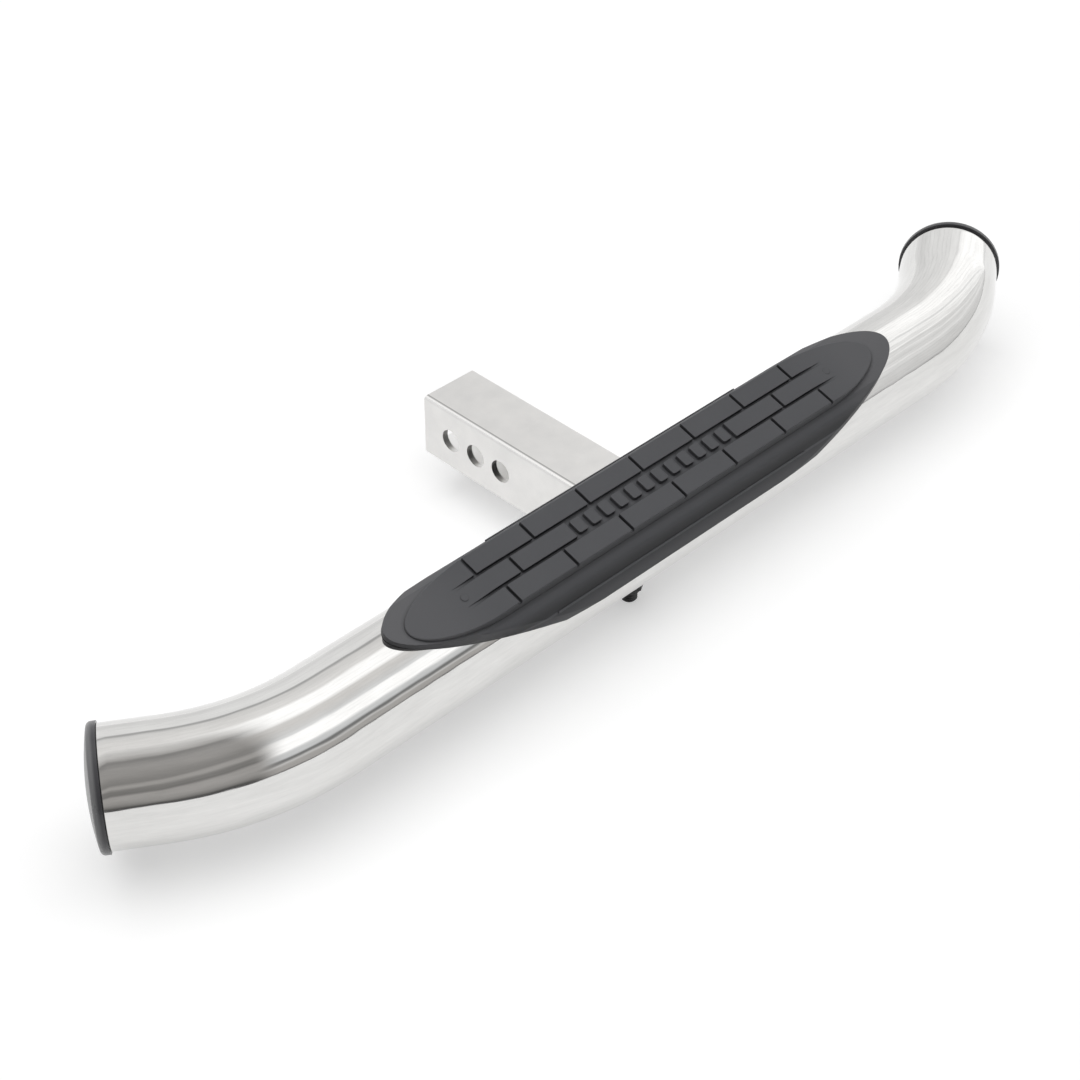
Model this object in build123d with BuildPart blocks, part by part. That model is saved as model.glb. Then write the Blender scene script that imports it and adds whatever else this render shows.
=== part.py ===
from build123d import *
import os
from math import cos, radians, sin, sqrt, tan

os.makedirs("parts", exist_ok=True)

# A step for the back of a vehicle: a bent round tube with a moulded tread pad, held in a
# trailer receiver by a square bar. Millimetres, +Z up, +Y towards the vehicle. The origin
# is the centre of the middle pin hole, on the bar's axis.

# Step tube
tube_od = 76.2
tube_wall = 2.0
straight_half = 283.0
bend_radius = 178.0
bend_angle = 33.3
end_straight = 34.0
tube_end_round = 0.8

# Receiver bar: the reach runs from the tube's axis to the middle pin hole
reach = 138.0
bar_side = 50.0
bar_wall = 4.8
bar_corner = 3.0
bar_drop = 8.0
bar_overlap = 12.0
window_clearance = 0.4
pin_hole = 17.5
pin_count = 3
pin_pitch = 25.4
pin_edge = 27.6

# Clamp under the bar's front end, to the left of the bar's middle
clamp_offset = -10.0
bolt_diameter = 12.0
bolt_clearance = 0.5
thread_clearance = 0.1
bolt_across_flats = 18.0
bolt_head_height = 7.5
bolt_tail = 9.0
bolt_tip_chamfer = 1.2
saddle_length = 34.0
saddle_width = 20.0
saddle_gap = 0.15
washer_diameter = 28.0
washer_height = 4.0
lock_washer_od = 21.0
lock_washer_thickness = 3.0
lock_washer_slit = 1.6
nut_across_flats = 19.0
nut_height = 8.0
nut_collar_height = 3.0
nut_collar_od = 16.5
hex_chamfer = 1.0

# Tread pad: heights are measured out from the tube's surface, angles from the pad's middle
pad_roll = 16.6
pad_gap = 0.25
pad_left_length = 234.0
pad_right_length = 243.0
pad_end_length = 160.0
pad_left_lean = 2.4
pad_plan_margin = 0.2
crown_height = 3.9
shoulder_height = 7.5
shoulder_ledge = 0.3
skirt_fold_angle = 41.0
skirt_fold_height = 7.2
skirt_bead_angle = 54.0
skirt_bead_height = 4.6
skirt_edge_angle = 72.5
skirt_edge_height = 2.7
bead_radius = 0.9
bead_half_length = 121.0
tread_height = 8.4
tread_half_length = 222.0
tread_end_length = 66.0
tread_half_width = 23.6
tread_edge_round = 0.8
dip_start = 145.0
dip_length = 42.0
dip_depth = 2.9
row_width = 15.6
brick_pitch = 50.7
joint_count = 7
front_offset = 2.8
middle_offset = -5.7
back_offset = -6.4
groove_width = 2.4
groove_depth = 2.7
panel_bricks = 3
rib_count = 12
rib_width = 8.0
rib_length = 11.0
rib_corner = 1.5
mark_position = 175.5
mark_radius = 2.6
mark_height = 0.7
peg_positions = (-176.0, -70.0, 70.0, 176.0)
peg_diameter = 10.0
peg_clearance = 0.3
peg_barb = 1.2
peg_barb_length = 9.0
peg_tip_diameter = 7.0

# End caps
cap_lip = 1.4
cap_rim = 6.0
cap_edge_round = 2.5
cap_dome = 4.0
cap_wall = 2.5
cap_plug_length = 24.0
cap_plug_clearance = 0.5
cap_rib_count = 8
cap_rib_height = 0.35
cap_rib_width = 2.0

# Values worked out from the sizes above
tube_radius = tube_od / 2
bore_radius = tube_radius - tube_wall
tube_centre = Vector(0, -reach, bar_drop)
tangent_length = bend_radius * tan(radians(bend_angle / 2))
corner_x = straight_half + tangent_length
leg = end_straight + tangent_length
end_x = corner_x + leg * cos(radians(bend_angle))
end_y = leg * sin(radians(bend_angle))
bar_back = pin_pitch * (pin_count - 1) / 2 + pin_edge
bar_front = -reach - bar_overlap
bar_floor = -bar_side / 2
bolt_hole = bolt_diameter + 2 * bolt_clearance
nut_bore = bolt_diameter + 2 * thread_clearance
tube_floor = bar_drop - tube_radius
washer_floor = tube_floor - washer_height
lock_washer_floor = washer_floor - lock_washer_thickness
nut_floor = lock_washer_floor - nut_height
collar_floor = nut_floor - nut_collar_height
peg_hole = peg_diameter + 2 * peg_clearance
barb_radius = peg_diameter / 2 + peg_barb
barb_top = sqrt(bore_radius**2 - barb_radius**2) - peg_clearance
seat_radius = tube_radius + pad_gap
pad_reach = max(pad_left_length, pad_right_length)
left_end_centre = pad_end_length - pad_left_length
right_end_centre = pad_right_length - pad_end_length
tread_top = tube_radius + tread_height
groove_floor = tread_top - groove_depth
dip_floor = tread_top - dip_depth
outer_length = tread_half_width + groove_width - row_width / 2
outer_centre = (tread_half_width + groove_width + row_width / 2) / 2
panel_length = panel_bricks * brick_pitch
plug_radius = bore_radius - cap_plug_clearance
cap_radius = tube_radius + cap_lip

tube_plane = Plane(origin=tube_centre, x_dir=(1, 0, 0), z_dir=(0, 0, 1))
tube_section = Plane(origin=tube_centre, x_dir=(0, 1, 0), z_dir=(1, 0, 0))
bar_section = Plane(origin=(0, bar_front, 0), x_dir=(1, 0, 0), z_dir=(0, 1, 0))
pad_normal = Vector(0, -sin(radians(pad_roll)), cos(radians(pad_roll)))
pad_plane = Plane(origin=tube_centre, x_dir=(1, 0, 0), z_dir=pad_normal)
pad_section = Plane(origin=tube_centre, x_dir=pad_plane.y_dir, z_dir=(1, 0, 0))
pad_side = Plane(origin=tube_centre, x_dir=(1, 0, 0), z_dir=-pad_plane.y_dir)


def export(piece, name):
    """Names a finished piece and writes it to its own file."""
    piece.part.label = name
    export_step(piece.part, f"parts/{name}.step")


def skirt_point(angle, height):
    """A point of the pad's section, at an angle from its middle and a height off the tube."""
    radius = tube_radius + height
    return (radius * sin(radians(angle)), radius * cos(radians(angle)))


def pad_height(point):
    """How far a point lies out from the tube's axis, square to the pad."""
    return pad_plane.to_local_coords(point).Z


def level(height):
    """A level plane centred on the clamp, at a height in the part's own frame."""
    return Plane(origin=(clamp_offset, -reach, height), x_dir=(1, 0, 0), z_dir=(0, 0, 1))


# Step tube: one run bent towards the vehicle at both ends, with a square window in its back
# wall for the bar, a bolt hole in its floor and a row of peg holes under the pad.
with BuildPart() as step_tube:
    with BuildLine(tube_plane) as tube_axis:
        FilletPolyline(
            (-end_x, end_y),
            (-corner_x, 0),
            (corner_x, 0),
            (end_x, end_y),
            radius=bend_radius,
        )
    with BuildSketch(Plane(origin=tube_axis.line @ 0, z_dir=tube_axis.line % 0)):
        Circle(tube_radius)
        Circle(bore_radius, mode=Mode.SUBTRACT)
    sweep()
    tube_ends = step_tube.faces().sort_by(Axis.X)
    fillet(tube_ends[0].outer_wire().edges() + tube_ends[-1].outer_wire().edges(), tube_end_round)
    with BuildSketch(bar_section.offset(bar_overlap)):
        window_side = bar_side + 2 * window_clearance
        RectangleRounded(window_side, window_side, bar_corner + window_clearance)
    extrude(amount=tube_od, mode=Mode.SUBTRACT)
    with BuildSketch(level(bar_drop)):
        Circle(bolt_hole / 2)
    extrude(amount=-tube_od, mode=Mode.SUBTRACT)
    with BuildSketch(pad_plane):
        with Locations(*[(x, 0) for x in peg_positions]):
            Circle(peg_hole / 2)
    extrude(amount=tube_od, mode=Mode.SUBTRACT)
export(step_tube, "step_tube")

# Receiver bar: square tube with a row of pin holes through both sides and a bolt hole in its floor.
with BuildPart() as receiver_bar:
    with BuildSketch(bar_section):
        RectangleRounded(bar_side, bar_side, bar_corner)
        Rectangle(bar_side - 2 * bar_wall, bar_side - 2 * bar_wall, mode=Mode.SUBTRACT)
    extrude(amount=bar_back - bar_front)
    with BuildSketch(Plane.YZ):
        with GridLocations(pin_pitch, 0, pin_count, 1):
            Circle(pin_hole / 2)
    extrude(amount=bar_side, both=True, mode=Mode.SUBTRACT)
    with BuildSketch(level(0)):
        Circle(bolt_hole / 2)
    extrude(amount=-bar_side, mode=Mode.SUBTRACT)
export(receiver_bar, "receiver_bar")

# Saddle: fills the space between the bar's flat floor and the round inside of the tube.
with BuildPart() as bar_saddle:
    with BuildSketch(tube_section):
        Circle(bore_radius - saddle_gap)
    extrude(amount=saddle_length / 2, both=True)
    with BuildSketch(level(bar_floor)):
        with Locations((-clamp_offset, 0)):
            Rectangle(saddle_length, saddle_width)
        Circle(bolt_hole / 2, mode=Mode.SUBTRACT)
    extrude(amount=-tube_od, mode=Mode.INTERSECT)
export(bar_saddle, "bar_saddle")

# Saddle washer: flat below for the lock washer, hollowed above to sit on the tube.
with BuildPart() as saddle_washer:
    with BuildSketch(level(washer_floor)):
        Circle(washer_diameter / 2)
        Circle(bolt_hole / 2, mode=Mode.SUBTRACT)
    extrude(amount=tube_radius)
    with BuildSketch(tube_section):
        Circle(tube_radius + saddle_gap)
    extrude(amount=washer_diameter, both=True, mode=Mode.SUBTRACT)
export(saddle_washer, "saddle_washer")

# Lock washer: a split ring.
with BuildPart() as lock_washer:
    with BuildSketch(level(lock_washer_floor)):
        Circle(lock_washer_od / 2)
        Circle(bolt_hole / 2, mode=Mode.SUBTRACT)
        with Locations((lock_washer_od / 2, 0)):
            Rectangle(lock_washer_od, lock_washer_slit, mode=Mode.SUBTRACT)
    extrude(amount=lock_washer_thickness)
export(lock_washer, "lock_washer")

# Lock nut: a hexagon with a round collar below.
with BuildPart() as lock_nut:
    with BuildSketch(level(nut_floor)):
        RegularPolygon(nut_across_flats / 2, side_count=6, major_radius=False, rotation=30)
    extrude(amount=nut_height)
    chamfer(lock_nut.edges().group_by(Axis.Z)[0], hex_chamfer)
    with BuildSketch(level(collar_floor)):
        Circle(nut_collar_od / 2)
    extrude(amount=nut_collar_height)
    fillet(lock_nut.edges().group_by(Axis.Z)[0], hex_chamfer)
    with BuildSketch(level(collar_floor)):
        Circle(nut_bore / 2)
    extrude(amount=nut_height + nut_collar_height, mode=Mode.SUBTRACT)
export(lock_nut, "lock_nut")

# Clamp bolt: its head lies inside the bar and its tail stands out below the nut.
with BuildPart() as clamp_bolt:
    head_floor = bar_floor + bar_wall
    with BuildSketch(level(head_floor)):
        RegularPolygon(bolt_across_flats / 2, side_count=6, major_radius=False, rotation=30)
    extrude(amount=bolt_head_height)
    chamfer(clamp_bolt.edges().group_by(Axis.Z)[-1], hex_chamfer)
    with BuildSketch(level(head_floor)):
        Circle(bolt_diameter / 2)
    extrude(amount=collar_floor - bolt_tail - head_floor)
    chamfer(clamp_bolt.edges().group_by(Axis.Z)[0], bolt_tip_chamfer)
export(clamp_bolt, "clamp_bolt")

# Tread pad: a skirted body that wraps the tube, a raised tread with rounded ends, brick
# grooves, a ribbed panel in the middle and barbed pegs that push into the tube.
with BuildPart() as step_pad:
    with BuildSketch(pad_plane):
        Rectangle(2 * (tread_half_length - tread_end_length), 2 * tread_half_width)
        for side in (-1, 1):
            with Locations((side * (tread_half_length - tread_end_length), 0)):
                Ellipse(tread_end_length, tread_half_width)
    extrude(amount=tread_top)
    with BuildSketch(pad_side):
        with BuildLine():
            fall = TangentArc(
                (dip_start, tread_top),
                (dip_start + dip_length / 2, tread_top - dip_depth / 2),
                tangent=(1, 0),
            )
            run_out = TangentArc(
                fall @ 1,
                (dip_start + dip_length, dip_floor),
                tangent=fall % 1,
            )
            Polyline(
                run_out @ 1,
                (pad_reach, dip_floor),
                (pad_reach, tread_top + dip_depth),
                (dip_start, tread_top + dip_depth),
                fall @ 0,
            )
        make_face()
        mirror(about=Plane.YZ)
    extrude(amount=tread_half_width + dip_depth, both=True, mode=Mode.SUBTRACT)
    tread_edges = step_pad.edges().filter_by(lambda edge: pad_height(edge @ 0.5) > dip_floor - groove_depth)
    fillet(tread_edges.filter_by(Axis(tube_centre, pad_plane.y_dir), reverse=True), tread_edge_round)
    with BuildSketch(pad_section):
        with BuildLine():
            shoulder_y = tread_half_width + shoulder_ledge
            shoulder_z = sqrt((tube_radius + shoulder_height) ** 2 - shoulder_y**2)
            crown = ThreePointArc(
                (-shoulder_y, shoulder_z),
                (0, tube_radius + crown_height),
                (shoulder_y, shoulder_z),
            )
            skirt = Polyline(
                crown @ 1,
                skirt_point(skirt_fold_angle, skirt_fold_height),
                skirt_point(skirt_bead_angle, skirt_bead_height),
                skirt_point(skirt_edge_angle, skirt_edge_height),
                skirt_point(skirt_edge_angle, pad_gap),
            )
            mirror(skirt, about=Plane.YZ)
            ThreePointArc(
                skirt_point(-skirt_edge_angle, pad_gap),
                (0, seat_radius),
                skirt_point(skirt_edge_angle, pad_gap),
            )
        make_face()
    extrude(amount=pad_reach, both=True)
    with BuildSketch(pad_section):
        bead_y, bead_z = skirt_point(skirt_bead_angle, skirt_bead_height)
        with Locations((-bead_y, bead_z), (bead_y, bead_z)):
            Circle(bead_radius)
    extrude(amount=bead_half_length, both=True)
    with BuildSketch(pad_plane):
        plan_half_width = skirt_point(skirt_edge_angle, skirt_edge_height)[0] + pad_plan_margin
        with Locations(((left_end_centre + right_end_centre) / 2, 0)):
            Rectangle(right_end_centre - left_end_centre, 2 * plan_half_width)
        with Locations((left_end_centre, 0)):
            Ellipse(pad_end_length, plan_half_width, rotation=-pad_left_lean)
        with Locations((right_end_centre, 0)):
            Ellipse(pad_end_length, plan_half_width)
    extrude(amount=2 * tread_top, mode=Mode.INTERSECT)
    with BuildSketch(tube_section):
        Circle(seat_radius)
    extrude(amount=pad_reach, both=True, mode=Mode.SUBTRACT)
    with BuildSketch(pad_plane.offset(groove_floor)):
        with GridLocations(0, row_width, 1, 2):
            Rectangle(2 * tread_half_length, groove_width)
        with Locations((front_offset, -outer_centre), (back_offset, outer_centre)):
            with GridLocations(brick_pitch, 0, joint_count, 1):
                Rectangle(groove_width, outer_length)
        with Locations((middle_offset, 0)):
            with GridLocations(brick_pitch, 0, joint_count - 1, 1):
                Rectangle(groove_width, row_width)
            Rectangle(panel_length, row_width)
            with GridLocations(panel_length / rib_count, 0, rib_count, 1):
                RectangleRounded(rib_width, rib_length, rib_corner, mode=Mode.SUBTRACT)
    extrude(amount=tread_height, mode=Mode.SUBTRACT)
    with BuildSketch(pad_plane.offset(seat_radius + pad_gap)):
        with GridLocations(2 * mark_position, 0, 2, 1):
            Circle(mark_radius)
    extrude(amount=dip_floor + mark_height - seat_radius - pad_gap)
    for x in peg_positions:
        with BuildSketch(pad_side):
            with BuildLine():
                Polyline(
                    (x, seat_radius + pad_gap),
                    (x, barb_top - peg_barb_length),
                    (x + peg_tip_diameter / 2, barb_top - peg_barb_length),
                    (x + barb_radius, barb_top),
                    (x + peg_diameter / 2, barb_top),
                    (x + peg_diameter / 2, seat_radius + pad_gap),
                    close=True,
                )
            make_face()
        revolve(axis=Axis(pad_side.from_local_coords((x, 0, 0)), pad_normal))
export(step_pad, "step_pad")

# End caps: a domed face whose rounded rim stands a little past the tube, and a ribbed hollow plug.
end_point = tube_axis.line @ 0
outward = -(tube_axis.line % 0)
cap_plane = Plane(origin=end_point, x_dir=(0, 0, 1), z_dir=outward)
cap_profile = Plane(origin=end_point, x_dir=(0, 0, 1), z_dir=Vector(0, 0, 1).cross(outward))
with BuildPart() as left_end_cap:
    with BuildSketch(cap_profile):
        with BuildLine():
            flat_radius = cap_radius - cap_edge_round
            hollow_radius = plug_radius - cap_wall
            dome = TangentArc((0, cap_rim + cap_dome), (flat_radius, cap_rim), tangent=(1, 0))
            rim = TangentArc(dome @ 1, (cap_radius, cap_rim - cap_edge_round), tangent=dome % 1)
            Polyline(
                rim @ 1,
                (cap_radius, 0),
                (plug_radius, 0),
                (plug_radius, -cap_plug_length),
                (hollow_radius, -cap_plug_length),
                (hollow_radius, cap_rim - cap_wall),
                (0, cap_rim + cap_dome - cap_wall),
                dome @ 0,
            )
        make_face()
    revolve(axis=Axis(end_point, outward))
    with BuildSketch(cap_plane.offset(-cap_plug_length)):
        with PolarLocations(plug_radius, cap_rib_count):
            Rectangle(2 * cap_rib_height, cap_rib_width)
    extrude(amount=cap_plug_length)
export(left_end_cap, "left_end_cap")

with BuildPart() as right_end_cap:
    mirror(left_end_cap.part, about=Plane.YZ)
export(right_end_cap, "right_end_cap")
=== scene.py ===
"""Looks for a hitch receiver step: finishes for its solids, a smooth polished tube, a threaded
clamp bolt, and a plain pale studio with the camera at the photograph's angle."""

import math

import bpy
import numpy as np
from bpy.props import FloatProperty, FloatVectorProperty, IntProperty, PointerProperty
from bpy.types import Operator, Panel, PropertyGroup
from mathutils import Matrix, Vector


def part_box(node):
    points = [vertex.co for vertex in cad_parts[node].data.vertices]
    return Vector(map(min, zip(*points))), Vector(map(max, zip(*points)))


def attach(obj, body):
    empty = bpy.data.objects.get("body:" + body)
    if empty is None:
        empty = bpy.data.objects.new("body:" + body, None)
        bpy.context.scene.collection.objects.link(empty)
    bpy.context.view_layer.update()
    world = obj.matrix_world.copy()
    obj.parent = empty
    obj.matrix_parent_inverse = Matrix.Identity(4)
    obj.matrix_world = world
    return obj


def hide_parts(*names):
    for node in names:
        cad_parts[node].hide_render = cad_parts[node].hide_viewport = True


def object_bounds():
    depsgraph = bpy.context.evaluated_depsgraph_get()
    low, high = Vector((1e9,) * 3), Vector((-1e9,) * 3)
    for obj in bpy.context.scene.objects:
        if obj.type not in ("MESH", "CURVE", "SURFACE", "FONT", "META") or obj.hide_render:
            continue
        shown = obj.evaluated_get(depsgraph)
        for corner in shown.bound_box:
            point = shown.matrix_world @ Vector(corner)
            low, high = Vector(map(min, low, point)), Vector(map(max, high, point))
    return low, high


bl_info = {
    "name": "Hitch receiver step",
    "version": (1, 0, 0),
    "blender": (4, 5, 0),
    "location": "View3D > Sidebar > Hitch step",
    "description": "Builds the looks of a hitch receiver step around its solids",
    "category": "Object",
}

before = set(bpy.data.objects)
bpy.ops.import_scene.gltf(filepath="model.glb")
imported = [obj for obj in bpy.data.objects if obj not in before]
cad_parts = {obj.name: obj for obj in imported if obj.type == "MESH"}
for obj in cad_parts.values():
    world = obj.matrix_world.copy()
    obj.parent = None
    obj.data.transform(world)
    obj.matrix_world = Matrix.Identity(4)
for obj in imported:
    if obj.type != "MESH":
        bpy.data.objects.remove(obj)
CAD_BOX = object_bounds()

tube_low, tube_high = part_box("step_tube")
bar_low, bar_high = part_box("receiver_bar")
bolt_low, bolt_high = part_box("clamp_bolt")
TUBE_RADIUS = (tube_high.z - tube_low.z) / 2
TUBE_CENTRE = Vector((0, tube_low.y + TUBE_RADIUS, (tube_high.z + tube_low.z) / 2))
BAR_SIDE = bar_high.x - bar_low.x
BAR_LEVEL = (bar_high.z + bar_low.z) / 2
BOLT_CENTRE = (bolt_low + bolt_high) / 2


# Settings


def length(name, description, default):
    """A property that holds a length in metres."""
    return FloatProperty(
        name=name, description=description, default=default, unit="LENGTH", precision=5
    )


def angle(name, description, degrees):
    """A property that holds an angle, given in degrees."""
    return FloatProperty(
        name=name, description=description, default=math.radians(degrees), subtype="ANGLE"
    )


def share(name, description, default, high=1.0):
    """A property that holds a plain number from nothing up to a limit."""
    return FloatProperty(name=name, description=description, default=default, min=0.0, max=high)


def colour(name, description, default):
    """A property that holds a linear colour."""
    return FloatVectorProperty(
        name=name, description=description, default=default, subtype="COLOR", size=3
    )


def position(name, description, default):
    """A property that holds a place in metres."""
    return FloatVectorProperty(
        name=name, description=description, default=default, subtype="TRANSLATION",
        unit="LENGTH", size=3,
    )


class StepTubeSettings(PropertyGroup):
    straight_half: length("Straight half", "From the middle to the start of a bend", 0.283)
    bend_radius: length("Bend radius", "Radius of the tube's axis in a bend", 0.178)
    bend_angle: angle("Bend angle", "How far each end is turned towards the vehicle", 33.3)
    end_straight: length("End straight", "From the end of a bend to the cap", 0.034)
    wall: length("Wall", "Thickness of the tube's wall", 0.002)
    end_round: length("End rounding", "Rounding of the tube's outer end edges", 0.0008)
    window_clearance: length("Window clearance", "Room round the bar in its window", 0.0004)
    window_corner: length("Window corner", "Radius of the window's corners", 0.0034)
    peg_hole: length("Peg hole", "Diameter of the holes for the pad's pegs", 0.0106)
    inner_pegs: length("Inner pegs", "From the middle to the two inner peg holes", 0.070)
    outer_pegs: length("Outer pegs", "From the middle to the two outer peg holes", 0.176)
    bolt_hole: length("Bolt hole", "Diameter of the hole for the clamp bolt", 0.013)
    facets: IntProperty(name="Facets", description="Steps around the tube", default=192, min=24)
    tint: colour("Tint", "Colour of the polished steel", (0.735, 0.732, 0.722))
    dull_tint: colour("Dull tint", "Colour where the polish is hazy", (0.66, 0.654, 0.64))
    roughness: share("Roughness", "Gloss of the polish, 0 is a mirror", 0.06)
    wave: share("Wave", "How far the surface wanders from a true cylinder", 0.13)
    haze: share("Haze", "Contrast of the faint streaks left by polishing", 0.24)


class ReceiverBarSettings(PropertyGroup):
    tint: colour("Tint", "Colour of the satin steel", (0.80, 0.79, 0.775))
    dull_tint: colour("Dull tint", "Colour of the cloudy patches", (0.70, 0.695, 0.685))
    # Painted light: the inside walls are painted paler to make up for the shade inside the bar.
    inside_painted_light_tint: colour("Inside tint", "Colour of the bare inside walls", (0.93, 0.925, 0.915))
    # Painted highlight: the long corners are painted paler, as if they caught the light.
    edge_highlight_tint: colour("Edge tint", "Colour of the rubbed long corners", (1.0, 0.995, 0.985))
    roughness: share("Roughness", "Gloss of the satin steel", 0.34)
    wall: length("Wall", "Thickness of the bar's wall", 0.0048)
    corner: length("Corner", "Radius of the bar's long corners", 0.003)
    # The share of a corner's height that gets the painted highlight.
    rubbed: share("Rubbed", "Share of a corner's height that is rubbed bright", 0.4)
    # Painted reflection: the thin dark line beside the left corners keeps this share of the dull
    # tint.
    dark_reflection_line: share("Dull line", "Brightness left in the line beside a rubbed corner", 0.6)
    blur: length("Blur", "Width over which a mask fades", 0.0004)


class TreadPadSettings(PropertyGroup):
    tint: colour("Tint", "Colour of the moulded rubber", (0.066, 0.067, 0.072))
    dull_tint: colour("Dull tint", "Colour of its dusty patches", (0.076, 0.077, 0.082))
    # Painted sheen: the flange round the tread's ends is painted paler, as if it caught the
    # overhead light.
    flange_sheen_tint: colour("Rim tint", "Colour of the flange round its ends", (0.100, 0.100, 0.105))
    roughness: share("Roughness", "Gloss of the rubber", 0.52)
    sheen: share("Sheen", "Strength of the rubber's reflections", 0.20)
    rounding: length("Edge rounding", "Apparent rounding of the moulded edges", 0.0006)
    fold_rounding: length("Fold rounding", "Apparent rounding of the skirt's fold", 0.0035)
    # Painted shade: ambient occlusion darkens the rubber's corners and grooves down to this share.
    crevice_shade: share("Crevice", "Brightness left in deep corners", 0.06)
    # Painted light: the skirt's colour is brightened by this factor against the tread.
    skirt: share("Skirt", "Brightness of the skirt against the tread", 1.22, 2.0)
    # Painted shade: the skirt under its fold, and more faintly below its bead, is painted darker.
    band: share("Band", "Brightness left between the skirt's fold and its bead", 0.42)
    roll: angle("Roll", "How far the pad is turned forward about the tube", 16.6)
    grain: share("Grain", "Fineness of the grain, in pimples a metre", 1500.0, 10000.0)
    sink: share("Sink", "Depth of the wide sinks against that of the grain", 0.6)
    relief: length("Relief", "Depth of the grain", 0.00012)


class EndCapSettings(PropertyGroup):
    tint: colour("Tint", "Colour of the moulded plastic", (0.036, 0.036, 0.040))
    dull_tint: colour("Dull tint", "Colour of its paler patches", (0.046, 0.046, 0.050))
    # Painted sheen: the domed faces are painted paler, as if they caught the light at a grazing
    # angle.
    face_sheen_tint: colour("Face tint", "Colour of the rubbed domed faces", (0.14, 0.14, 0.144))
    roughness: share("Roughness", "Gloss of the plastic", 0.28)
    sheen: share("Sheen", "Strength of the plastic's reflections", 0.5)
    rounding: length("Edge rounding", "Apparent rounding of the moulded edges", 0.0004)
    # Painted shade: ambient occlusion darkens the plastic's corners down to this share.
    crevice_shade: share("Crevice", "Brightness left in deep corners", 0.5)
    grain: share("Grain", "Fineness of the grain, in pimples a metre", 2600.0, 10000.0)
    sink: share("Sink", "Depth of the wide sinks against that of the grain", 0.3)
    relief: length("Relief", "Depth of the grain", 0.00006)


class ClampSettings(PropertyGroup):
    thread_pitch: length("Thread pitch", "Rise of the bolt's thread in one turn", 0.00175)
    thread_depth: length("Thread depth", "Depth of the bolt's thread", 0.0009)
    thread_length: length("Thread length", "Length of the threaded end", 0.030)
    across_flats: length("Across flats", "Width of the bolt's head", 0.018)
    head_height: length("Head height", "Height of the bolt's head", 0.0075)
    head_chamfer: length("Head chamfer", "Height of the chamfer on the bolt's head", 0.001)
    tip_chamfer: length("Tip chamfer", "Length of the chamfer at the bolt's tip", 0.0012)
    diameter: length("Diameter", "Outside diameter of the bolt", 0.012)
    tint: colour("Tint", "Colour of the black coating", (0.018, 0.018, 0.019))
    worn_tint: colour("Worn tint", "Colour where the coating is rubbed", (0.05, 0.05, 0.052))
    roughness: share("Roughness", "Gloss of the coating", 0.45)


class StageSettings(PropertyGroup):
    azimuth: angle("Azimuth", "Side the camera looks from, 0 looks along +Y", -44.951)
    elevation: angle("Elevation", "Height the camera looks from", 39.077)
    roll: angle("Roll", "Turn of the picture", 0.271)
    distance: length("Distance", "From the tube's middle to the camera", 1.43188)
    shift_right: length("Right", "Camera's offset to its own right", -0.06901)
    shift_up: length("Up", "Camera's offset upwards in the picture", -0.01482)
    focal: share("Focal length", "Focal length over the picture's width", 1.95375, 10.0)
    floor_gap: length("Floor gap", "From the lowest point down to the floor", 0.0005)
    floor_size: length("Floor size", "Side of the floor", 30.0)
    floor_tint: colour("Floor tint", "Colour of the floor", (0.65, 0.65, 0.65))
    floor_glow: share("Floor glow", "White added to the floor under the lamp", 0.423)
    far_glow: share("Far glow", "White added to the floor far from the lamp", 0.96)
    glow_reach: length("Glow reach", "Distance over which the lamp's light fades", 2.345)
    dome_radius: length("Dome radius", "Radius of the dome that metal reflects", 14.0)
    ambient: share("Ambient", "Strength of the light from all around", 0.10, 5.0)
    overhead: share("Overhead", "Power of the overhead lamp in watts", 66.0, 1000.0)
    lamp_size: length("Lamp size", "Side of the square overhead lamp", 3.0)
    lamp_place: position("Lamp place", "Where the overhead lamp hangs", (-0.4, -0.25, 2.2))


class HitchStepSettings(PropertyGroup):
    tube: PointerProperty(type=StepTubeSettings)
    bar: PointerProperty(type=ReceiverBarSettings)
    pad: PointerProperty(type=TreadPadSettings)
    caps: PointerProperty(type=EndCapSettings)
    clamp: PointerProperty(type=ClampSettings)
    stage: PointerProperty(type=StageSettings)


# Shader nodes


def label(name):
    """A socket's label from a plain name: dull_tint gives Dull Tint."""
    return name.replace("_", " ").title()


def add_node(tree, kind, **values):
    """Adds a shader node; values set its attributes, or its inputs where the name is an input's."""
    node = tree.nodes.new(kind)
    for name, value in values.items():
        if hasattr(node, name):
            setattr(node, name, value)
        else:
            node.inputs[label(name)].default_value = value
    return node


def connect(tree, node, **sources):
    """Links outputs to a node's inputs of the same names."""
    for name, source in sources.items():
        tree.links.new(source, node.inputs[label(name)])


def add_math(tree, operation, *terms, clamp=False):
    """One Math node; each term is a number or another node's output."""
    node = add_node(tree, "ShaderNodeMath", operation=operation, use_clamp=clamp)
    for plug, term in zip(node.inputs, terms):
        if isinstance(term, (int, float)):
            plug.default_value = term
        else:
            tree.links.new(term, plug)
    return node.outputs[0]


def mix_colour(tree, factor, first, second, blend="MIX"):
    """Mixes two colours, or multiplies them, by a factor; each is an output or a plain colour."""
    node = add_node(tree, "ShaderNodeMix", data_type="RGBA", blend_type=blend)
    for plug, term in zip(("Factor", "A", "B"), (factor, first, second)):
        if isinstance(term, (float, tuple)):
            node.inputs[plug].default_value = term
        else:
            tree.links.new(term, node.inputs[plug])
    return node.outputs["Result"]


def range_of(tree, source, low, high):
    """Spreads a mask from 0..1 over low..high."""
    node = add_node(tree, "ShaderNodeMapRange", to_min=low, to_max=high)
    tree.links.new(source, node.inputs["Value"])
    return node.outputs["Result"]


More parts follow.
